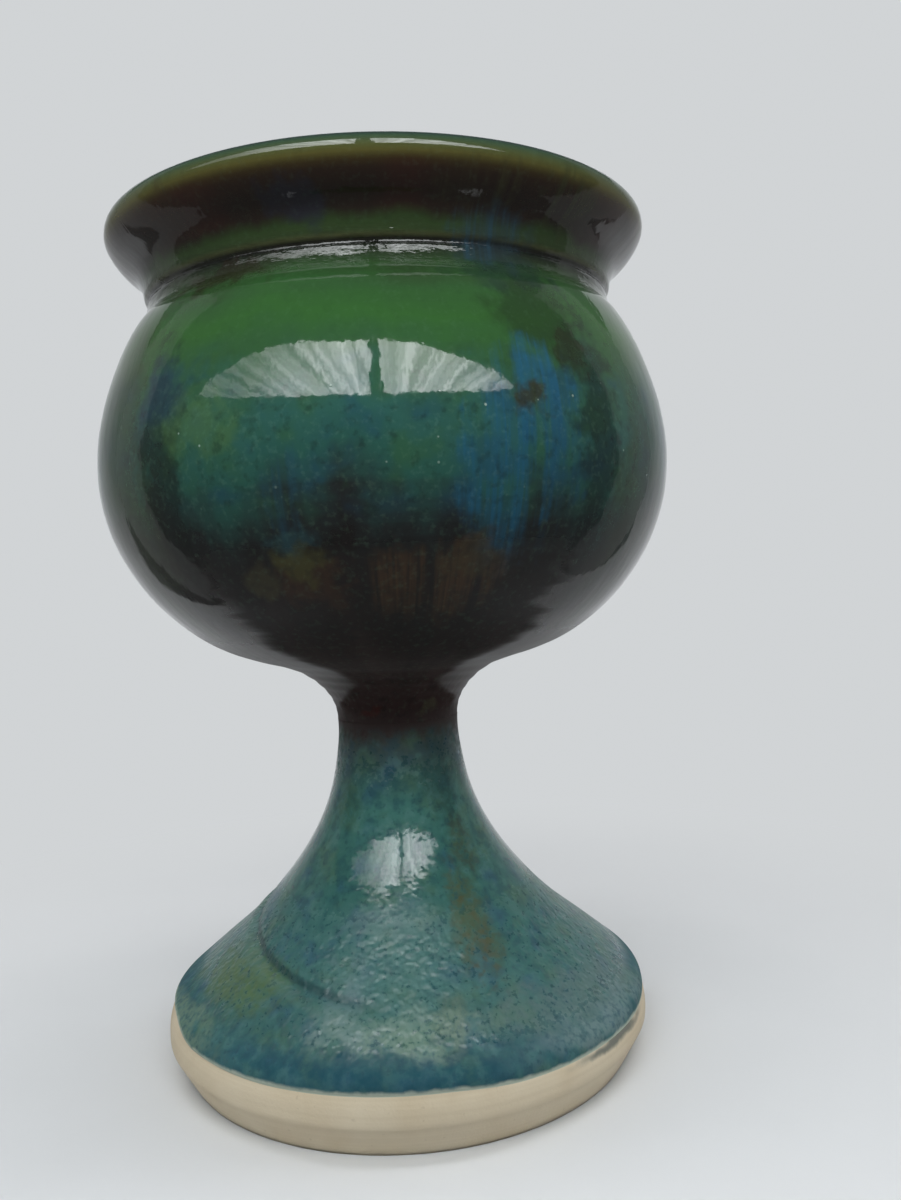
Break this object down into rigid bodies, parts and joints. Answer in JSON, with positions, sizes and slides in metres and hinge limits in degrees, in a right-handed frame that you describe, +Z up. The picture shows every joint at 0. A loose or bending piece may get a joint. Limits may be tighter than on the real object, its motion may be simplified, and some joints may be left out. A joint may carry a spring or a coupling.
{
  "type": "goblet",
  "caption": "Footed stoneware drinking goblet: round glazed bowl with a flared collar and rolled lip, joined to a hollow trumpet-shaped pedestal with a bare bevelled foot.",
  "frame": {"origin": "centre of the flat foot ring, on the surface that the goblet stands on", "axes": "+Z up along the goblet's axis from the foot to the mouth; the goblet is round, so +X is any side"},
  "size_m": [0.09, 0.09, 0.1306],
  "materials": {
    "stoneware": "bare buff stoneware, matt",
    "joint_clay": "bare buff stoneware, matt",
    "pedestal_glaze": "glossy mottled blue-green glaze",
    "bowl_glaze": "glossy green glaze breaking to blue, olive and brown-black",
    "liner_glaze": "glossy dark green glaze"
  },
  "bodies": {
    "root": {"pedestal": "stoneware", "bowl": "stoneware", "joint_slip": "joint_clay", "joint_coil": "joint_clay", "pedestal_glaze": "pedestal_glaze", "bowl_glaze": "bowl_glaze", "liner_glaze": "liner_glaze"}
  },
  "joints": []
}
